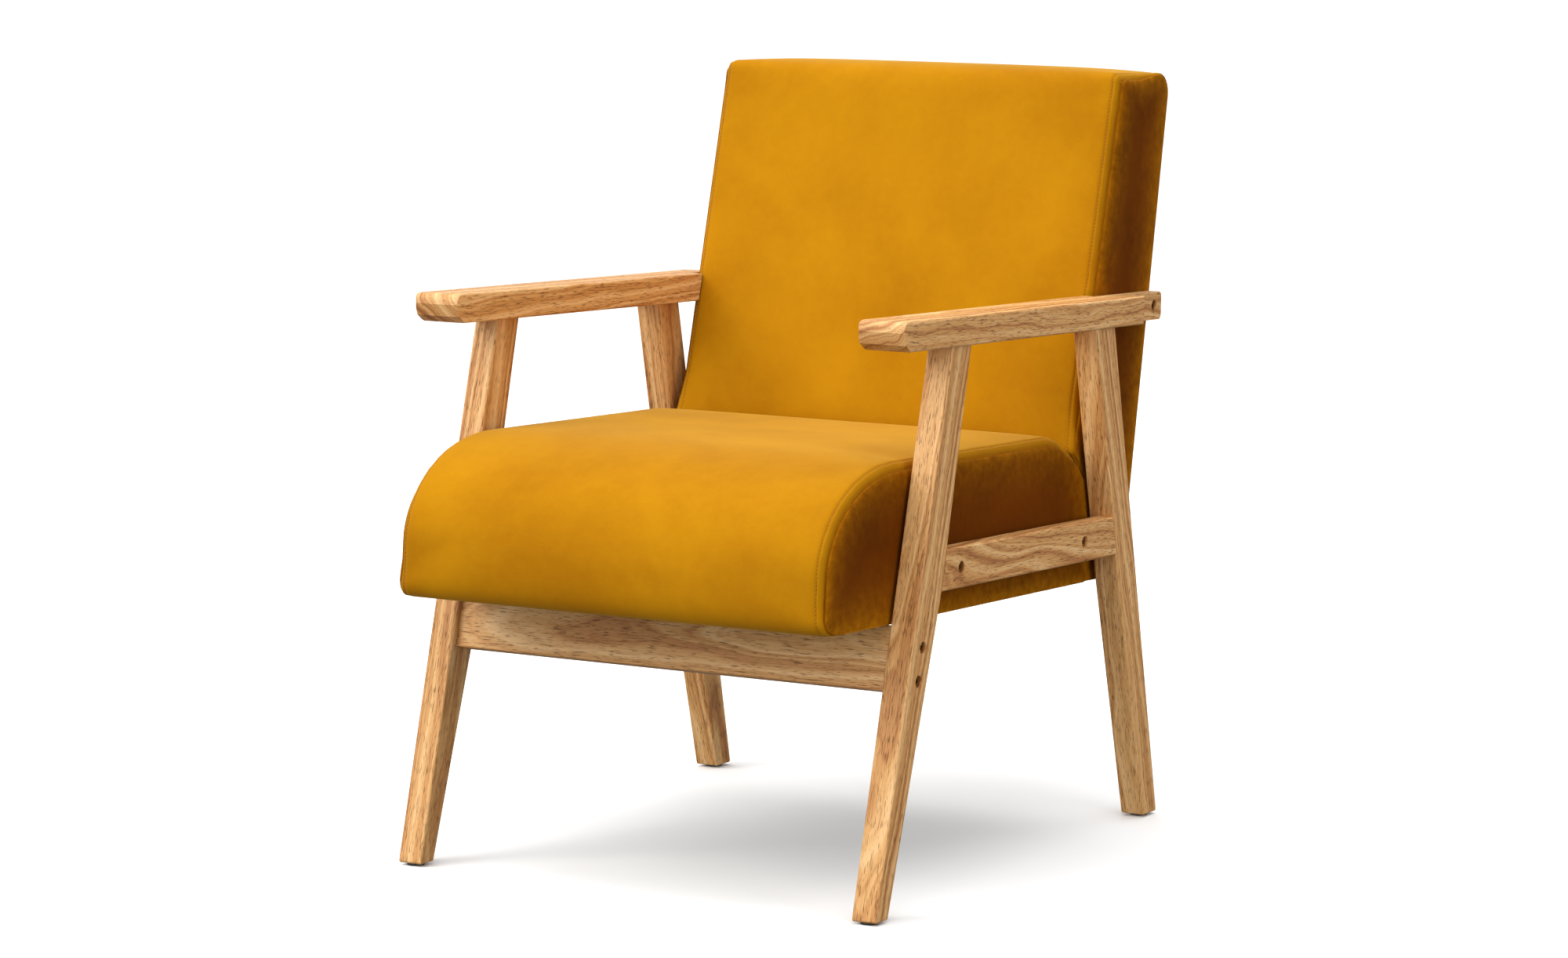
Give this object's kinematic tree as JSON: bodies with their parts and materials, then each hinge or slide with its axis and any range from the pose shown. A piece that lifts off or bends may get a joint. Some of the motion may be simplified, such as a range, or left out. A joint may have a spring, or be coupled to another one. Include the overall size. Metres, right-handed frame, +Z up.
{
  "type": "wooden armchair",
  "caption": "Upholstered armchair with a waterfall-nosed seat and a raked backrest between two bolted timber side frames with flat armrests.",
  "frame": {"origin": "centre of the chair's box on the floor plane", "axes": "+Z up; the chair faces -Y; +X is the sitter's left and the chair is symmetric about the plane x = 0"},
  "size_m": [0.628, 0.8326, 0.8805],
  "materials": {
    "timber": "oiled rubberwood with eased edges",
    "board": "unfinished inner frame timber",
    "velvet": "short-pile velvet, mustard",
    "foam": "upholstery foam",
    "webbing": "woven elastic webbing",
    "dust_cloth": "non-woven polypropylene cloth",
    "bronzed_steel": "bronzed steel",
    "plain_steel": "zinc-plated steel",
    "glide_plastic": "moulded nylon"
  },
  "bodies": {
    "root": {"arm_left": "timber", "arm_right": "timber", "front_leg_left": "timber", "front_leg_right": "timber", "rear_leg_left": "timber", "rear_leg_right": "timber", "side_rail_left": "timber", "side_rail_right": "timber", "front_rail": "timber", "arm_dowels": "timber", "rail_dowels": "timber", "front_rail_bolts": "bronzed_steel", "front_rail_nuts": "plain_steel", "seat_bolts": "bronzed_steel", "seat_tee_nuts": "plain_steel", "seat_spacers": "timber", "back_bolts": "bronzed_steel", "back_tee_nuts": "plain_steel", "joint_plates": "plain_steel", "joint_screws": "plain_steel", "foot_glides": "glide_plastic", "seat_side_member_left": "board", "seat_side_member_right": "board", "seat_front_member": "board", "seat_rear_member": "board", "seat_corner_blocks": "board", "seat_cross_webbing": "webbing", "seat_long_webbing": "webbing", "seat_foam": "foam", "seat_cover": "velvet", "seat_side_panel_left": "velvet", "seat_side_panel_right": "velvet", "seat_dust_cover": "dust_cloth", "back_stile_left": "board", "back_stile_right": "board", "back_top_rail": "board", "back_middle_rail": "board", "back_bottom_rail": "board", "back_webbing": "webbing", "back_foam": "foam", "back_wadding": "foam", "back_cover": "velvet", "back_side_panel_left": "velvet", "back_side_panel_right": "velvet", "back_dust_cover": "dust_cloth"}
  },
  "joints": []
}
